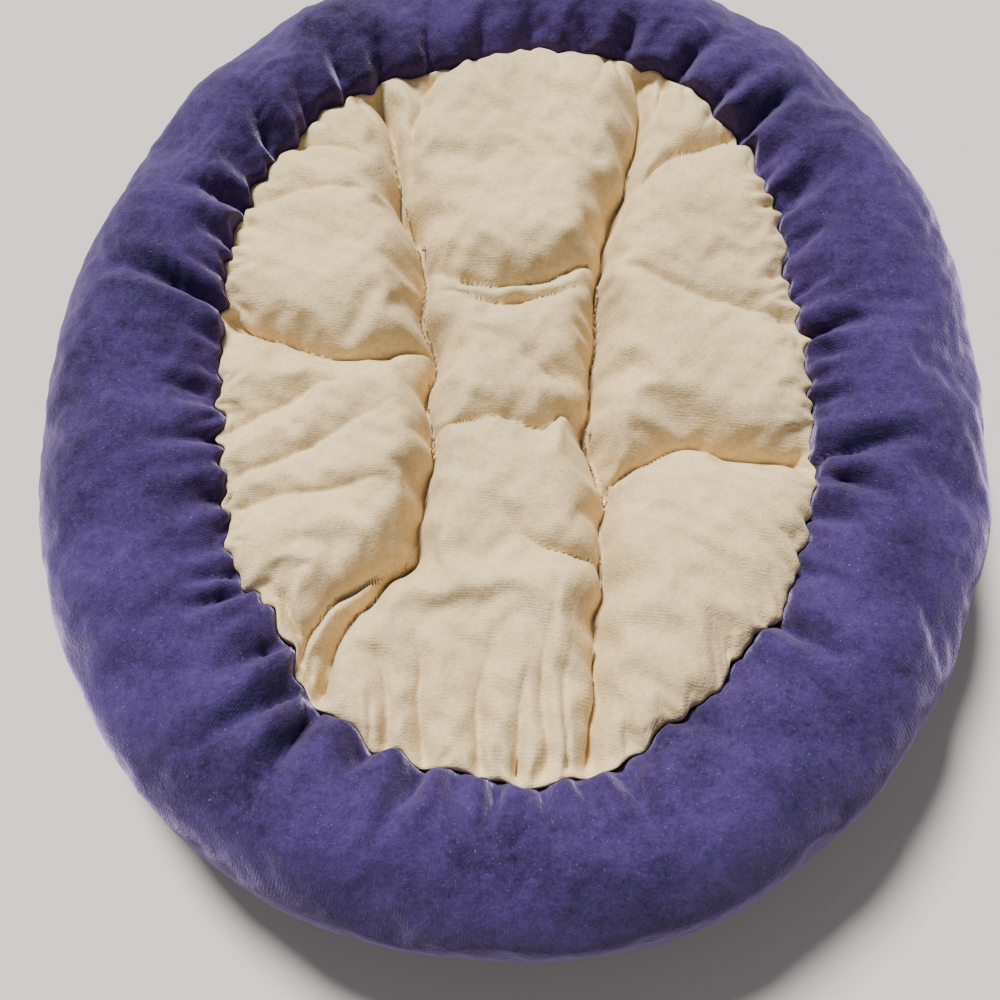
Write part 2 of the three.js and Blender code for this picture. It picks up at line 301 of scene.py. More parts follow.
def puff_up(piece, held, pressure, spare, frames, cap, bending, passes=2):
    """Blows a piece up as cloth with some spare length, without gravity. Vertices are held by
    their weight, and none may move further than the cap. The result replaces the mesh."""
    group = piece.vertex_groups.new(name="held")
    for weight in np.unique(held[held > 0]):
        group.add(np.flatnonzero(held.ravel() == weight).tolist(), float(weight), "REPLACE")
    cloth = piece.modifiers.new("puff", "CLOTH")
    cloth.settings.quality = 4
    cloth.settings.mass = 0.25
    cloth.settings.tension_stiffness = 12
    cloth.settings.compression_stiffness = 12
    cloth.settings.shear_stiffness = 4
    cloth.settings.bending_stiffness = bending
    cloth.settings.air_damping = 2.5
    cloth.settings.shrink_min = -spare
    cloth.settings.use_pressure = True
    cloth.settings.uniform_pressure_force = pressure
    cloth.settings.vertex_group_mass = "held"
    cloth.settings.effector_weights.gravity = 0
    cloth.collision_settings.use_collision = False
    cloth.collision_settings.use_self_collision = False
    cloth.point_cache.frame_start = 1
    cloth.point_cache.frame_end = frames
    for frame_number in range(1, frames + 1):
        bpy.context.scene.frame_set(frame_number)
    count = len(piece.data.vertices)
    start, end = np.empty(count * 3, np.float32), np.empty(count * 3, np.float32)
    piece.data.vertices.foreach_get("co", start)
    blown = piece.evaluated_get(bpy.context.evaluated_depsgraph_get())
    blown.data.vertices.foreach_get("co", end)
    start, end = start.reshape(-1, 3), end.reshape(-1, 3)
    way = end - start
    far = np.linalg.norm(way, axis=1, keepdims=True)
    way = (way * np.minimum(1, cap / np.maximum(far, 1e-9))).reshape(*held.shape, 3)
    end = start + soften(way, passes).reshape(-1, 3)
    piece.modifiers.remove(cloth)
    piece.vertex_groups.clear()
    bpy.context.scene.frame_set(1)
    piece.data.vertices.foreach_set("co", end.astype(np.float32).ravel())
    piece.data.update()


# Folds of the ring: angle at the seam, angle at the far end, length, depth and width. Angles are
# in degrees, anticlockwise from the right, and the sizes are in millimetres.
RING_FOLDS = [
    (-168, -169, 46, 3.0, 5), (-158, -159, 38, 2.5, 5), (-147, -148, 44, 3.0, 5), (-134, -137, 42, 4.0, 4),
    (-131, -134, 46, 5.0, 4), (-121, -125, 50, 3.5, 5), (-115, -122, 84, 5.5, 5), (-112, -113, 80, 6.5, 5),
    (-104, -106, 44, 3.5, 4), (-97, -100, 62, 5.5, 4), (-93, -93, 40, 3.0, 4), (-88, -89, 44, 7.0, 3), (-83, -81, 66, 4.5, 4),
    (-79, -77, 44, 3.0, 4), (-73, -72, 66, 5.5, 5), (-63, -60, 44, 3.0, 5), (-54, -53, 36, 2.5, 5),
    (-45, -44, 62, 6.0, 5), (-36, -35, 36, 2.5, 5), (-27, -26, 40, 3.0, 5), (-19, -21, 60, 5.5, 4),
    (-17, -9, 76, 6.5, 5), (-6, -3, 36, 2.5, 5), (3, 4, 34, 2.5, 5), (10, 10, 44, 4.5, 4),
    (19, 20, 34, 3.0, 4), (28, 29, 40, 3.0, 5), (38, 38, 54, 5.0, 5), (46, 45, 40, 3.0, 5),
    (53, 50, 74, 8.0, 5), (60, 57, 48, 4.0, 4), (68, 64, 66, 6.0, 5), (77, 76, 54, 5.5, 5),
    (84, 84, 34, 2.5, 5), (92, 92, 38, 3.0, 5), (100, 99, 40, 3.5, 5), (109, 107, 52, 4.5, 5),
    (117, 115, 40, 3.5, 5), (124, 122, 50, 4.0, 5), (132, 130, 42, 3.5, 5), (140, 137, 70, 6.0, 5),
    (152, 156, 62, 6.0, 5), (160, 162, 44, 3.5, 5), (167, 168, 40, 3.0, 5), (173, 171, 92, 8.0, 5),
]


PRESSED = 10 * MM
PRESSED_HEIGHT = 24 * MM
FACE_ROUNDING = 1.5 * MM


def ring_section(angle, turn):
    """The tube's outside: at a turn of 0 it is on the seam, at a quarter on the crest and at a
    half on the outer side. A superellipse about the tube's middle, cut off flat at the floor,
    and on the inside where it is pressed against the pad."""
    inner = seam_radius(angle) - PRESSED
    outer = oval_radius(angle, ring_high.x, ring_high.y, RING_SQUARENESS)
    c, s = np.cos(2 * np.pi * turn), np.sin(2 * np.pi * turn)
    k = (np.abs(c) ** TUBE_SQUARENESS + np.abs(s) ** TUBE_SQUARENESS) ** (-1 / TUBE_SQUARENESS)
    past_face = (inner + outer) / 2 - (outer - inner) / 2 * k * c - (inner + PRESSED)
    radius = inner + PRESSED + soft_limit(past_face, FACE_ROUNDING)
    z = np.maximum(SEAM_Z + (ring_high.z - SEAM_Z) * k * s, 0)
    return np.stack([radius * np.cos(angle), radius * np.sin(angle), z], -1)


def fold_depth(across, along, length, depth, width):
    """One fold that starts at a seam: a sharp narrow valley that widens along the fold, between
    two soft ridges a finger's width apart, all fading out along the fold."""
    share = np.clip(along / length, 0, 1)
    narrow = width * (0.5 + 0.8 * share) * np.where(across > 0, 0.75, 1.2)
    ridge = np.exp(-(((np.abs(across) - 1.8 * width) / (1.1 * width)) ** 2))
    return depth * (1 - share**2) * (np.exp(-np.abs(across) / narrow) - 0.35 * ridge)


turns = (np.arange(TUBE_STEPS) / TUBE_STEPS)[None, :]
angles = (-np.arange(RING_STEPS) / RING_STEPS * 2 * np.pi - np.pi / 2)[:, None]
ring = ring_section(angles + 0 * turns, turns + 0 * angles)
loop = np.concatenate([ring, ring[:, :1]], 1)
from_top_edge = lengths_along(loop, 1)[:, :-1]
from_seam = np.minimum(from_top_edge, lengths_along(loop, 1)[:, -1:] - from_top_edge)
radius = np.hypot(ring[..., 0], ring[..., 1])
above = turns < 0.5
from_touch = np.maximum(from_seam - PRESSED_HEIGHT, 0)

# Large lumps of the filling, then the folds, then fine gathers that stay close to the seam. All
# of them come in above the line where the ring is pressed against the pad.
gathered = np.zeros(ring.shape[:2])
push = 1.7 * MM * waves(ring, 60 * MM, 150 * MM, 26, 11) * smooth_step(from_seam / (40 * MM))
for start, end, length, depth, width in RING_FOLDS:
    share = np.clip(from_touch / (length * MM), 0, 1)
    line = np.radians(start + (end - start) * share)
    across = radius * np.sin(angles - line) + 40 * (np.cos(angles - line) < 0)
    reach = fold_depth(across, from_touch, length * MM, 2.0 * depth * MM, 1.3 * width * MM)
    push -= np.where(above, reach, 0.5 * reach)
    deep_part = (from_touch < 0.85 * length * MM) * (depth > 3.9) * above
    valley_share = np.exp(-((across / (1.6 * MM)) ** 2)) * deep_part
    gathered = np.maximum(gathered, valley_share)
draw = np.random.default_rng(5)
for gather in range(190):
    line = draw.random() * 2 * np.pi
    length, depth = (7 + 34 * draw.random() ** 2) * MM, (1.2 + 2.4 * draw.random()) * MM
    lean = draw.normal() * 0.04
    side = above if draw.random() < 0.6 else ~above
    bend = line + lean * np.clip(from_touch / length, 0, 1)
    across = radius * np.sin(angles - bend) + 40 * (np.cos(angles - bend) < 0)
    push -= np.where(side, fold_depth(across * (-1) ** gather, from_touch, length, depth, 3.6 * MM), 0)
push += 0.35 * MM * waves(ring, 8 * MM, 22 * MM, 40, 12)
push *= smooth_step((from_seam - 14 * MM) / (24 * MM)) * (1 - 0.6 * smooth_step((turns - 0.3) / 0.15))
ring = ring + push[..., None] * grid_normals(ring, True, True)
ring[..., 2] = np.maximum(ring[..., 2], 0)
ring = lean_to_touch(ring)

along_ring = np.concatenate([ring, ring[:1]], 0)
along_ring = np.concatenate([along_ring, along_ring[:, :1]], 1)
middle_line = lengths_along(along_ring[:, TUBE_STEPS // 4:TUBE_STEPS // 4 + 1], 0)
ring_map = np.stack([middle_line + 0 * along_ring[..., 0], lengths_along(along_ring, 1)], -1)
cover = grid_object("velour_cover", ring, True, True, ring_map)
# The seam and the underside are held, and the rest is free to puff up.
held = np.where((turns < 0.012) | (turns > 0.46), 1.0, np.round(gathered * 8) / 8)
puff_up(cover, held, pressure=6, spare=0.012, frames=14, cap=5 * MM, bending=15)
cover_points = keep_apart(mesh_points(cover, ring.shape), 1)
set_points(cover, cover_points)


# ---------------------------------------------------------------------------------------------
# Pile fabric
# Both fabrics are knitted with a short pile that is brushed one way. The pile shows fine ribs,
# lighter and darker patches where a hand has turned it over, and a little lint.
# ---------------------------------------------------------------------------------------------
def add_node(tree, kind, place, **settings):
    """A node of a kind at a place in its tree, with its properties set."""
    made = tree.nodes.new(kind)
    made.location = place
    for key, value in settings.items():
        setattr(made, key, value)
    return made


def pile_group():
    """Group that turns a cloth map and object coordinates into a pile: Shade about 1, Lint from
    0 to 1, and Height in millimetres."""
    tree = bpy.data.node_groups.new("brushed_pile", "ShaderNodeTree")
    for name in ("Cloth", "Place"):
        tree.interface.new_socket(name, in_out="INPUT", socket_type="NodeSocketVector")
    for name in ("Rib Pitch", "Rib Depth", "Patch Contrast", "Grain Contrast", "Lint Amount"):
        tree.interface.new_socket(name, in_out="INPUT", socket_type="NodeSocketFloat")
    for name in ("Shade", "Height", "Lint"):
        tree.interface.new_socket(name, in_out="OUTPUT", socket_type="NodeSocketFloat")
    link = tree.links.new
    given = add_node(tree, "NodeGroupInput", (-1400, 0))
    result = add_node(tree, "NodeGroupOutput", (900, 0))

    def math_node(operation, place, a, b=None, c=None):
        made = add_node(tree, "ShaderNodeMath", place, operation=operation)
        for socket, value in zip(made.inputs, (a, b, c)):
            if value is None:
                continue
            if isinstance(value, (int, float)):
                socket.default_value = value
            else:
                link(value, socket)
        return made.outputs[0]

    def noise(place, source, scale, detail, roughness):
        made = add_node(tree, "ShaderNodeTexNoise", place)
        made.inputs["Scale"].default_value = scale
        made.inputs["Detail"].default_value = detail
        made.inputs["Roughness"].default_value = roughness
        link(source, made.inputs["Vector"])
        return made.outputs["Fac"]

    # Patches where the pile lies the other way.
    patches = noise((-1000, 500), given.outputs["Place"], 16, 3, 0.55)
    small_patches = noise((-1000, 250), given.outputs["Place"], 75, 4, 0.6)
    large = math_node("MULTIPLY_ADD", (-900, 600), patches, 1.3, -0.92)
    patch = math_node("MULTIPLY_ADD", (-750, 400), small_patches, 0.55, large)
    # Clumps of fibres, about a millimetre across.
    grain = noise((-1000, 0), given.outputs["Place"], 620, 3, 0.65)
    coarse = noise((-1000, -200), given.outputs["Place"], 260, 3, 0.6)
    # Ribs of the knit, broken up along their length.
    split = add_node(tree, "ShaderNodeSeparateXYZ", (-1200, -420))
    link(given.outputs["Cloth"], split.inputs[0])
    wander = noise((-1000, -620), given.outputs["Place"], 180, 2, 0.5)
    phase = math_node("DIVIDE", (-1000, -420), split.outputs["X"], given.outputs["Rib Pitch"])
    phase = math_node("MULTIPLY_ADD", (-850, -420), wander, 0.5, phase)
    rib = math_node("SINE", (-550, -420), math_node("MULTIPLY", (-700, -420), phase, 2 * math.pi))
    breaks = noise((-700, -650), given.outputs["Place"], 90, 2, 0.5)
    broken = math_node("MULTIPLY_ADD", (-600, -800), breaks, 4.0, -1.6)
    broken = math_node("SMOOTH_MIN", (-550, -650), broken, 1.0, 0.3)
    rib = math_node("MULTIPLY", (-400, -420), rib, broken)
    # Shade: 1 plus each unevenness by its contrast.
    shade = math_node("MULTIPLY_ADD", (-200, 400), patch, given.outputs["Patch Contrast"], 1.0)
    clumps = math_node("ADD", (-600, 50), grain, coarse)
    clumps = math_node("SUBTRACT", (-450, 50), clumps, 1.0)
    shade = math_node("MULTIPLY_ADD", (0, 300), clumps, given.outputs["Grain Contrast"], shade)
    deep_rib = math_node("MULTIPLY", (0, -100), rib, given.outputs["Rib Depth"])
    shade = math_node("MULTIPLY_ADD", (200, 300), deep_rib, 0.35, shade)
    link(shade, result.inputs["Shade"])
    tufts = math_node("MULTIPLY", (0, -300), clumps, 0.9)
    height = math_node("MULTIPLY_ADD", (200, -300), rib, given.outputs["Rib Depth"], tufts)
    link(height, result.inputs["Height"])
    # Lint: the few highest places of a fine noise.
    specks = noise((-200, -700), given.outputs["Place"], 900, 1, 0.5)
    highest = math_node("GREATER_THAN", (0, -700), specks, 0.735)
    lint = math_node("MULTIPLY", (200, -700), highest, given.outputs["Lint Amount"])
    link(lint, result.inputs["Lint"])
    return tree


def pile_fabric(name, colour, lint_colour, sheen_colour, sheen, rib_pitch, rib_depth, patches,
                grain, lint, bump):
    """A fabric with the brushed pile: its colour is the base colour times the pile's shade."""
    made = bpy.data.materials.new(name)
    made.use_nodes = True
    tree = made.node_tree
    link = tree.links.new
    shader = tree.nodes["Principled BSDF"]
    shader.inputs["Roughness"].default_value = 0.92
    shader.inputs["Specular IOR Level"].default_value = 0.15
    shader.inputs["Sheen Weight"].default_value = sheen
    shader.inputs["Sheen Roughness"].default_value = 0.37
    shader.inputs["Sheen Tint"].default_value = sheen_colour
    pile = add_node(tree, "ShaderNodeGroup", (-500, 0), node_tree=PILE)
    for socket, value in (("Rib Pitch", rib_pitch), ("Rib Depth", rib_depth), ("Patch Contrast", patches),
                          ("Grain Contrast", grain), ("Lint Amount", lint)):
        pile.inputs[socket].default_value = value
    cloth = add_node(tree, "ShaderNodeUVMap", (-900, 100), uv_map="cloth")
    place = add_node(tree, "ShaderNodeTexCoord", (-900, -200))
    link(cloth.outputs["UV"], pile.inputs["Cloth"])
    link(place.outputs["Object"], pile.inputs["Place"])
    shaded = add_node(tree, "ShaderNodeMix", (-250, 200), data_type="RGBA", blend_type="MULTIPLY")
    shaded.inputs["Factor"].default_value = 1
    shaded.inputs["A"].default_value = colour
    link(pile.outputs["Shade"], shaded.inputs["B"])
    linted = add_node(tree, "ShaderNodeMix", (-50, 200), data_type="RGBA")
    link(pile.outputs["Lint"], linted.inputs["Factor"])
    link(shaded.outputs["Result"], linted.inputs["A"])
    linted.inputs["B"].default_value = lint_colour
    link(linted.outputs["Result"], shader.inputs["Base Color"])
    relief = add_node(tree, "ShaderNodeBump", (-250, -250))
    relief.inputs["Strength"].default_value = 1
    relief.inputs["Distance"].default_value = bump
    link(pile.outputs["Height"], relief.inputs["Height"])
    link(relief.outputs["Normal"], shader.inputs["Normal"])
    return made


PILE = pile_group()
velour = pile_fabric(
    "velour", (0.034, 0.021, 0.09, 1), (0.42, 0.4, 0.6, 1), (0.62, 0.53, 0.95, 1), sheen=0.85,
    rib_pitch=1.5 * MM, rib_depth=0.08, patches=1.5, grain=1.2, lint=0.18, bump=0.5 * MM,
)
cover.data.materials.append(velour)
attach(cover, "root")
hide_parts("bolster_cover")

# ---------------------------------------------------------------------------------------------
# The pad's top panel
# Beige plush, larger than the oval it covers. Two rows of stitches and four tacks pull it down,
# so it swells into lobes between them, and its spare cloth lies in creases and pleats.
# ---------------------------------------------------------------------------------------------
PAD_CROWN = 79 * MM
PAD_COLUMNS = 210
PAD_ROWS = 270


def oval_grid(columns, rows, half_width, half_length, squareness):
    """Points of a square grid spread evenly over an oval: squares about the middle become ovals,
    with radius max(|u|, |v|) and an angle in step with the way along the square's side."""
    u = np.linspace(-1, 1, columns)[:, None] + np.zeros((1, rows))
    v = np.linspace(-1, 1, rows)[None, :] + np.zeros((columns, 1))
    flat_side = np.abs(u) >= np.abs(v)
    share = np.where(flat_side, u, v)
    safe = np.where(share == 0, 1, share)
    lean = np.pi / 4 * np.where(flat_side, v, u) / safe
    x = share * np.where(flat_side, np.cos(lean), np.sin(lean))
    y = share * np.where(flat_side, np.sin(lean), np.cos(lean))
    x, y = x * half_width, y * half_length
    angle = np.arctan2(y, x)
    fit = oval_radius(angle, half_width, half_length, squareness) / oval_radius(angle, half_width, half_length, 2)
    return x * fit, y * fit


CREASE_STRETCH = np.array([1.03, 1.045])
CREASE_SHIFT = np.array([0, 9 * MM])


def crease_line(points):
    """Points every 2 mm or so along a smooth curve through the given places, which are spread
    a little and moved towards the back."""
    knots = np.array(points, float) * MM * CREASE_STRETCH + CREASE_SHIFT
    steps = np.concatenate([[0], np.cumsum(np.linalg.norm(np.diff(knots, axis=0), axis=1))])
    padded = np.vstack([2 * knots[0] - knots[1], knots, 2 * knots[-1] - knots[-2]])
    at = np.linspace(0, steps[-1], max(8, int(steps[-1] / (2 * MM))))
    i = np.clip(np.searchsorted(steps, at, side="right") - 1, 0, len(knots) - 2)
    t = ((at - steps[i]) / (steps[i + 1] - steps[i]))[:, None]
    a, b, c, d = padded[i], padded[i + 1], padded[i + 2], padded[i + 3]
    square, cube = 2 * a - 5 * b + 4 * c - d, 3 * b - a - 3 * c + d
    return 0.5 * (2 * b + (c - a) * t + square * t**2 + cube * t**3)


def near_line(x, y, line):
    """Distance of each grid point from a line of points, and its place along it from 0 to 1."""
    best = np.full(x.shape, 1e9)
    place = np.zeros(x.shape)
    for i, (start, end) in enumerate(zip(line[:-1], line[1:])):
        way = end - start
        t = np.clip(((x - start[0]) * way[0] + (y - start[1]) * way[1]) / (way @ way), 0, 1)
        distance = np.hypot(x - start[0] - t * way[0], y - start[1] - t * way[1])
        nearer = distance < best
        best = np.where(nearer, distance, best)
        place = np.where(nearer, (i + t) / (len(line) - 1), place)
    return best, place


def valley(distance, width, bottom):
    """1 on a crease and 0 at its width: the gap between two rounded lobes that meet there, a
    quarter circle on each side, with a bottom rounded off over a few millimetres."""
    d = np.clip((np.sqrt(distance**2 + bottom**2) - bottom) / width, 0, 1)
    return 1 - np.sqrt(1 - (1 - d) ** 2)


# Creases of the pad as places in millimetres from its middle, then depth at the start, middle
# and end, and width. The first two are the stitched lines.
PAD_CREASES = [
    ([(-100, 178), (-78, 106), (-59, 56), (-56, 24), (-47, 2), (-49, -24), (-41, -60), (-43, -84), (-49, -120),
      (-62, -138), (-78, -164), (-84, -196)], (26, 42, 24), 20),
    ([(66, 210), (60, 136), (49, 98), (44, 64), (44, 32), (42, -20), (43, -50), (55, -72), (50, -96), (53, -120),
      (50, -164), (52, -190), (50, -222)], (26, 42, 28), 20),
    ([(-59, 54), (-34, 44), (4, 45), (44, 64)], (14, 13, 18), 20),
    ([(-46, 34), (-14, 31), (16, 36), (40, 48)], (5, 14, 5), 12),
    ([(-41, -50), (-12, -45), (16, -46), (30, -37), (43, -50)], (12, 9, 18), 18),
    ([(-12, -2), (22, -16), (42, -40)], (0, 5, 8), 12),
    ([(-166, 14), (-144, 0), (-116, -7), (-96, -10), (-72, -7), (-47, 3)], (22, 20, 22), 22),
    ([(-74, -8), (-58, -18), (-50, -30)], (12, 10, 10), 12),
    ([(55, -72), (72, -60), (100, -51), (126, -54), (160, -54)], (22, 20, 24), 22),
    ([(92, 40), (124, 33), (158, 26)], (0, 4, 8), 12),
    ([(49, 96), (78, 128), (118, 154), (132, 156)], (12, 10, 14), 20),
    ([(0, -100), (22, -116), (53, -121)], (0, 7, 16), 16),
    ([(-50, -122), (-74, -140), (-92, -160), (-98, -184)], (18, 20, 16), 18),
    ([(-110, -150), (-98, -170), (-88, -192)], (10, 14, 10), 14),
    ([(-66, 186), (-74, 134), (-59, 58)], (10, 6, 12), 16),
    ([(-118, 176), (-92, 132), (-62, 66)], (8, 5, 8), 14),
    ([(80, 206), (68, 146), (47, 70)], (12, 8, 14), 16),
    ([(118, 156), (84, 128), (48, 88)], (6, 6, 10), 16),
    ([(-150, -66), (-118, -40), (-76, -22)], (9, 8, 0), 18),
    ([(-142, -90), (-98, -62), (-58, -34)], (9, 8, 0), 18),
    ([(-150, -110), (-110, -96), (-60, -84)], (8, 6, 0), 16),
    ([(-166, 84), (-128, 92), (-84, 90)], (7, 4, 0), 14),
    ([(-150, 128), (-120, 124), (-82, 104)], (8, 5, 0), 14),
    ([(-46, -224), (-50, -196), (-56, -170)], (14, 9, 0), 11),
    ([(-28, -226), (-34, -190), (-36, -160)], (14, 9, 0), 11),
    ([(-2, -228), (-4, -194), (-2, -160)], (12, 7, 0), 10),
    ([(16, -228), (14, -202), (18, -170)], (13, 7, 0), 10),
    ([(28, -228), (26, -186), (28, -134)], (11, 7, 0), 11),
    ([(38, -226), (38, -168), (42, -120)], (8, 5, 0), 10),
    ([(70, -218), (66, -190), (64, -160)], (8, 4, 0), 9),
    ([(-40, 206), (-30, 176), (-24, 160)], (5, 3, 0), 9),
    ([(10, 218), (14, 190), (10, 172)], (4, 2, 0), 9),
    ([(40, 214), (36, 184), (30, 160)], (6, 3, 0), 9),
]

# The outermost lines of the grid stand up as the pad's side, pressed against the ring.
SIDE_SHARE = 0.05
wide_x, wide_y = oval_grid(PAD_COLUMNS, PAD_ROWS, seam_half_width, seam_half_length, SEAM_SQUARENESS)
wide_x, wide_y = wide_x * (1 + SIDE_SHARE), wide_y * (1 + SIDE_SHARE)
angle = np.arctan2(wide_y, wide_x)
rim_share = np.hypot(wide_x, wide_y) / seam_radius(angle)
flat_x, flat_y = wide_x / np.maximum(rim_share, 1), wide_y / np.maximum(rim_share, 1)
down_side = np.clip((rim_share - 1) / SIDE_SHARE, 0, 1)
from_rim = seam_radius(angle) - np.hypot(flat_x, flat_y)
shoulder = np.clip((from_rim + 10 * MM) / (34 * MM), 0, 1)
rise = (1 - (1 - shoulder) ** 2.4) ** (1 / 2.4)
flat = np.stack([flat_x, flat_y, 0 * flat_x], -1)
pad_z = SEAM_Z + (PAD_CROWN - SEAM_Z) * rise * (1 + 0.05 * waves(flat, 90 * MM, 200 * MM, 20, 31))
settled = lean_to_touch(np.stack([flat_x, flat_y, 0 * flat_x + PAD_CROWN], -1))
drift = np.stack([waves(flat, 25 * MM, 60 * MM, 20, 32 + i) for i in range(2)], -1) * 1.2 * MM
drop = np.zeros_like(pad_z)
creased = np.zeros(pad_z.shape, bool)
for places, (start, middle, end), width in PAD_CREASES:
    at_x, at_y = settled[..., 0] + drift[..., 0], settled[..., 1] + drift[..., 1]
    distance, share = near_line(at_x, at_y, crease_line(places))
    depth = np.interp(share, [0, 0.5, 1], [start, middle, end]) * MM
    spread = 0.55 + 0.45 * depth / max(start, middle, end) / MM
    reach = valley(distance, 1.35 * width * MM * spread, 1.0 * MM)
    creased |= (distance < 1.3 * MM) & (depth > 6 * MM)
    drop = np.maximum(drop, depth * reach) + 0.35 * np.minimum(drop, depth * reach)
draw = np.random.default_rng(8)
for _ in range(120):
    line = draw.random() * 2 * np.pi
    length, depth = (9 + 20 * draw.random() ** 2) * MM, (1.0 + 2.2 * draw.random()) * MM
    bend = line + draw.normal() * 0.05 * np.clip(from_rim / length, 0, 1)
    across = np.hypot(flat_x, flat_y) * np.sin(angle - bend) + 40 * (np.cos(angle - bend) < 0)
    drop += fold_depth(across, from_rim, length, depth, 2.4 * MM) * smooth_step(from_rim / (2 * MM))
pad_z -= drop * smooth_step((from_rim + 2 * MM) / (9 * MM))
pad_z = np.maximum(pad_z, np.interp(from_rim, [0, 12 * MM, 40 * MM], [50 * MM, 42 * MM, 27 * MM]))
pad_z += 0.5 * MM * waves(flat, 10 * MM, 30 * MM, 40, 35) * rise
pad_z = SEAM_Z + (pad_z - SEAM_Z) * (1 - down_side)
top = lean_to_touch(np.stack([flat_x, flat_y, pad_z], -1))
top_map = np.stack([flat_y, flat_x], -1)
top_panel = grid_object("plush_top", top, cloth_map=top_map)
held = (creased | (down_side > 0.99)).astype(float)
puff_up(top_panel, held, pressure=7, spare=0.05, frames=14, cap=9 * MM, bending=40, passes=4)
top_points = keep_apart(mesh_points(top_panel, top.shape), -1)
set_points(top_panel, top_points)

plush = pile_fabric(
    "plush", (0.63, 0.485, 0.275, 1), (0.95, 0.86, 0.7, 1), (1.0, 0.92, 0.76, 1), sheen=0.2,
    rib_pitch=1.5 * MM, rib_depth=0.1, patches=0.4, grain=0.5, lint=0.3, bump=0.45 * MM,
)
top_panel.data.materials.append(plush)
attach(top_panel, "root")
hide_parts("pad_top_panel")

# ---------------------------------------------------------------------------------------------
# The pad's base panel
# The underside of the pad, from the same plush. It lies on the floor under each channel and is
# pulled up along the two stitched lines and to the inner seam.
# ---------------------------------------------------------------------------------------------
BASE_LIFT = 12 * MM
base_x, base_y = oval_grid(110, 140, seam_half_width, seam_half_length, SEAM_SQUARENESS)
base_rim = seam_radius(np.arctan2(base_y, base_x)) - np.hypot(base_x, base_y)
sag = 1 - np.clip(base_rim / (40 * MM), 0, 1)
base_z = SEAM_Z * (1 - np.sqrt(1 - sag**2))
base_flat = np.stack([base_x, base_y, 0 * base_x], -1)
for places, depths, width in PAD_CREASES[:2]:
    distance, share = near_line(base_x, base_y, crease_line(places))
    base_z += BASE_LIFT * valley(distance, 18 * MM, 2 * MM) * (1 - sag)
base_z += 0.6 * MM * (1 + waves(base_flat, 12 * MM, 50 * MM, 30, 41)) * (1 - sag)
base = np.stack([base_x, base_y, np.maximum(base_z, 0)], -1)
base_panel = grid_object("plush_base", base[:, ::-1], cloth_map=np.stack([base_y, base_x], -1)[:, ::-1])
base_panel.data.materials.append(plush)
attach(base_panel, "root")
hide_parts("pad_base_panel")

# ---------------------------------------------------------------------------------------------
# The filling
# Loose polyester fibre: one long roll in the ring, and one pillow in each of the pad's three
# channels. It shows nowhere, and it keeps a finger's width clear of the covers' folds.
# ---------------------------------------------------------------------------------------------
fibre = bpy.data.materials.new("fibre")
fibre.use_nodes = True
fibre_shader = fibre.node_tree.nodes["Principled BSDF"]
fibre_shader.inputs["Roughness"].default_value = 0.9
fibre_shader.inputs["Sheen Weight"].default_value = 0.2
fibre_noise = add_node(fibre.node_tree, "ShaderNodeTexNoise", (-700, 0))
fibre_noise.inputs["Scale"].default_value = 300
fibre_noise.inputs["Distortion"].default_value = 2.5
fibre_place = add_node(fibre.node_tree, "ShaderNodeTexCoord", (-900, 0))
fibre_colour = add_node(fibre.node_tree, "ShaderNodeValToRGB", (-450, 100))
fibre_colour.color_ramp.elements[0].color = (0.68, 0.67, 0.64, 1)
fibre_colour.color_ramp.elements[1].color = (0.88, 0.87, 0.85, 1)
fibre_relief = add_node(fibre.node_tree, "ShaderNodeBump", (-300, -200))
fibre_relief.inputs["Distance"].default_value = 0.6 * MM
fibre.node_tree.links.new(fibre_place.outputs["Object"], fibre_noise.inputs["Vector"])
fibre.node_tree.links.new(fibre_noise.outputs["Fac"], fibre_colour.inputs["Fac"])
fibre.node_tree.links.new(fibre_colour.outputs["Color"], fibre_shader.inputs["Base Color"])
fibre.node_tree.links.new(fibre_noise.outputs["Fac"], fibre_relief.inputs["Height"])
fibre.node_tree.links.new(fibre_relief.outputs["Normal"], fibre_shader.inputs["Normal"])

FIBRE_INSET = 20 * MM
roll_turns = (np.arange(44) / 44)[None, :]
roll_angles = (-np.arange(180) / 180 * 2 * np.pi)[:, None]
roll = ring_section(roll_angles + 0 * roll_turns, roll_turns + 0 * roll_angles)
inset = FIBRE_INSET - 1.5 * MM * waves(roll, 25 * MM, 60 * MM, 20, 51)
roll = lean_to_touch(roll) - inset[..., None] * grid_normals(roll, True, True)
ring_fibre = grid_object("ring_fibre", roll, True, True)
pillows = [(ring_fibre, "bolster_fill")]

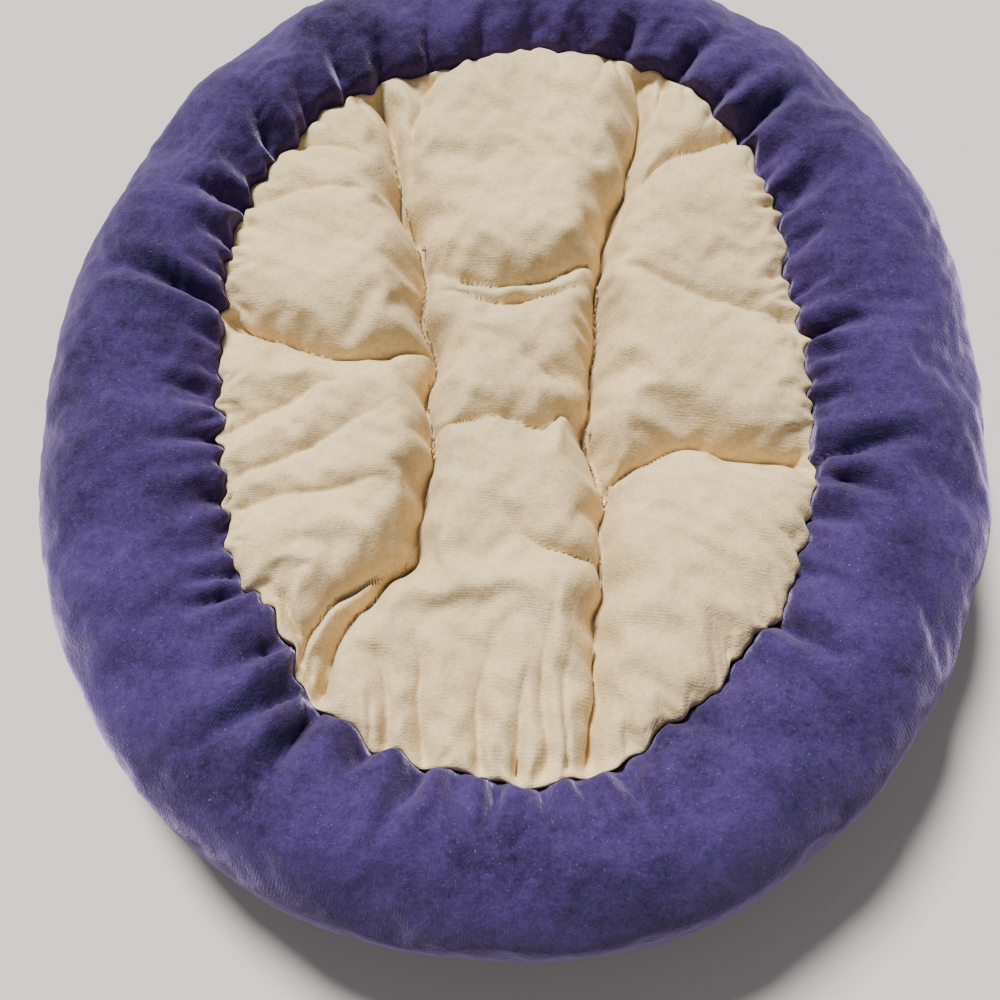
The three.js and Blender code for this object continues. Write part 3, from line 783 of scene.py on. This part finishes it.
line_left, line_right = [crease_line(places) for places, _, _ in PAD_CREASES[:2]]
PILLOW_LENGTHS = [(-130, 140), (-180, 190), (-130, 150)]
edges = [None, line_left, line_right, None]
pillow_turn = (np.arange(40) / 40 * 2 * np.pi)[None, :]
for i, (side, (front, back)) in enumerate(zip(("left", "centre", "right"), PILLOW_LENGTHS)):
    s_along = np.linspace(-1, 1, 60)[:, None]
    y = ((front + back) / 2 + (back - front) / 2 * np.sin(s_along * np.pi / 2)) * MM
    rim = seam_half_width * (1 - np.abs(y / seam_half_length) ** SEAM_SQUARENESS) ** (1 / SEAM_SQUARENESS)
    sides = [-rim, None, None, rim]
    for k, line in ((1, line_left), (2, line_right)):
        order = np.argsort(line[:, 1])
        sides[k] = np.interp(y, line[order, 1], line[order, 0])
    low_x, high_x = sides[i] + 16 * MM, sides[i + 1] - 16 * MM
    round_off = np.sqrt(np.maximum(1 - s_along**4, 0))
    c, sn = np.cos(pillow_turn), np.sin(pillow_turn)
    bulge = (np.abs(c) ** 2.4 + np.abs(sn) ** 2.4) ** (-1 / 2.4) * round_off
    x = (low_x + high_x) / 2 + (high_x - low_x) / 2 * bulge * c
    z = 33 * MM + 22 * MM * bulge * sn
    lobe = np.stack([x, y + 0 * x, z], -1)
    lobe[..., 2] += 0.8 * MM * waves(lobe, 20 * MM, 50 * MM, 20, 52 + i) * round_off
    pillows.append((grid_object("pad_fibre_" + side, lobe, closed_columns=True), "pad_fill_" + side))
for pillow, node in pillows:
    pillow.data.materials.append(fibre)
    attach(pillow, "root")
    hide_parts(node)

# ---------------------------------------------------------------------------------------------
# Threads
# Two-ply polyester sewing thread, beige in the pad and violet-blue in the ring. Two rows of
# stitches and four knotted tacks in the pad, hand stitches on the filling slit, and the seams.
# ---------------------------------------------------------------------------------------------
THREAD_RADIUS = 0.5 * MM


def thread_tube(name, path, stitch, radius, material):
    """A thread along a path of points: a tube whose radius swells and pinches once for each
    stitch, closed to a point at both ends."""
    steps = np.concatenate([[0], np.cumsum(np.linalg.norm(np.diff(path, axis=0), axis=1))])
    at = np.linspace(0, steps[-1], max(12, int(steps[-1] / (stitch / 6))))
    line = np.stack([np.interp(at, steps, path[:, i]) for i in range(3)], -1)
    way = np.gradient(line, axis=0)
    way /= np.linalg.norm(way, axis=1, keepdims=True)
    side = np.cross(way, np.array([0.1, 0.05, 1.0]))
    side /= np.linalg.norm(side, axis=1, keepdims=True)
    up = np.cross(side, way)
    around = np.linspace(0, 2 * np.pi, 9)[:-1]
    size = radius * (0.55 + 0.45 * np.abs(np.sin(np.pi * at / stitch)) ** 0.5)
    size[[0, -1]] = 0.02 * radius
    points = (line[:, None] + size[:, None, None] * (np.cos(around)[None, :, None] * side[:, None]
              + np.sin(around)[None, :, None] * up[:, None]))
    made = grid_object(name, points, closed_columns=True, cloth_map=np.zeros((len(line), 9, 2)))
    made.data.materials.append(material)
    return made


def thread_material(name, colour):
    """Matt thread: its twist is a fine wave of light and dark along the object's axes."""
    made = bpy.data.materials.new(name)
    made.use_nodes = True
    tree = made.node_tree
    shader = tree.nodes["Principled BSDF"]
    shader.inputs["Roughness"].default_value = 0.7
    shader.inputs["Sheen Weight"].default_value = 0.2
    place = add_node(tree, "ShaderNodeTexCoord", (-900, 0))
    twist = add_node(tree, "ShaderNodeTexWave", (-700, 0), bands_direction="DIAGONAL")
    twist.inputs["Scale"].default_value = 420
    twist.inputs["Distortion"].default_value = 1.5
    tree.links.new(place.outputs["Object"], twist.inputs["Vector"])
    ramp = add_node(tree, "ShaderNodeValToRGB", (-450, 100))
    ramp.color_ramp.elements[0].color = tuple(0.6 * c for c in colour) + (1,)
    ramp.color_ramp.elements[1].color = tuple(1.1 * c for c in colour) + (1,)
    tree.links.new(twist.outputs["Fac"], ramp.inputs["Fac"])
    tree.links.new(ramp.outputs["Color"], shader.inputs["Base Color"])
    relief = add_node(tree, "ShaderNodeBump", (-300, -200))
    relief.inputs["Distance"].default_value = 0.15 * MM
    tree.links.new(twist.outputs["Fac"], relief.inputs["Height"])
    tree.links.new(relief.outputs["Normal"], shader.inputs["Normal"])
    return made


pad_thread = thread_material("pad_thread", (0.5, 0.41, 0.28))
ring_thread = thread_material("ring_thread", (0.06, 0.045, 0.16))
flat_top = top_points.reshape(-1, 3)


def on_top_panel(places, lift):
    """Points on the top panel over each place in plan: the nearest vertex's height plus lift."""
    away = np.hypot(flat_top[None, :, 0] - places[:, None, 0], flat_top[None, :, 1] - places[:, None, 1])
    return np.column_stack([places, flat_top[np.argmin(away, axis=1), 2] + lift])


for side, line in (("left", line_left), ("right", line_right)):
    rim_radius = seam_radius(np.arctan2(line[:, 1], line[:, 0]))
    inner_part = line[np.hypot(line[:, 0], line[:, 1]) < 0.86 * rim_radius]
    path = on_top_panel(inner_part, 0.2 * MM)
    row = thread_tube("stitch_row_" + side, path, 4 * MM, THREAD_RADIUS, pad_thread)
    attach(row, "root")
    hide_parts("channel_stitch_" + side)

# A tack is a few turns of thread pulled into a knot at the deepest point of the pad.
TACKS = {"back_left": (-62, 81), "back_right": (47, 90), "front_left": (-44, -44), "front_right": (45, -32)}
for place, (x, y) in TACKS.items():
    foot = on_top_panel(np.array([[x * MM, y * MM]]), 0)[0]
    t = np.linspace(0, 1, 90)
    knot = np.column_stack([
        foot[0] + 1.5 * MM * np.cos(2 * np.pi * 3 * t) * (1 - 0.4 * t),
        foot[1] + 1.5 * MM * np.sin(2 * np.pi * 3 * t) * (1 - 0.4 * t),
        foot[2] + 0.2 * MM + 1.8 * MM * t,
    ])
    tack = thread_tube("knot_" + place, knot, 3 * MM, THREAD_RADIUS, pad_thread)
    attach(tack, "root")
    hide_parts("tack_" + place)

# Hand stitches across the filling slit at the front, and the seam of the strip's ends inside.
front_line = cover_points[0]
front_out = grid_normals(cover_points, True, True)[0]
slit = [6, 7, 8, 9, 10, 11, 12, 13, 14]
zigzag = front_line[slit] + front_out[slit] * 0.6 * MM
zigzag[:, 0] += np.where(np.arange(len(slit)) % 2, 2.2, -2.2) * MM
slit_row = thread_tube("slit_stitches", zigzag, 5 * MM, 0.35 * MM, ring_thread)
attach(slit_row, "root")
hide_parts("filling_slit_stitches")
inside = front_line[8:TUBE_STEPS - 8] - 3.5 * MM * front_out[8:TUBE_STEPS - 8]
end_seam = thread_tube("strip_end_seam", inside, 3 * MM, THREAD_RADIUS, ring_thread)
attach(end_seam, "root")
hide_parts("strip_end_seam_thread")
for name in ("ring_seam_thread", "gathering_thread"):
    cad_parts[name].data.materials.clear()
    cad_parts[name].data.materials.append(ring_thread)
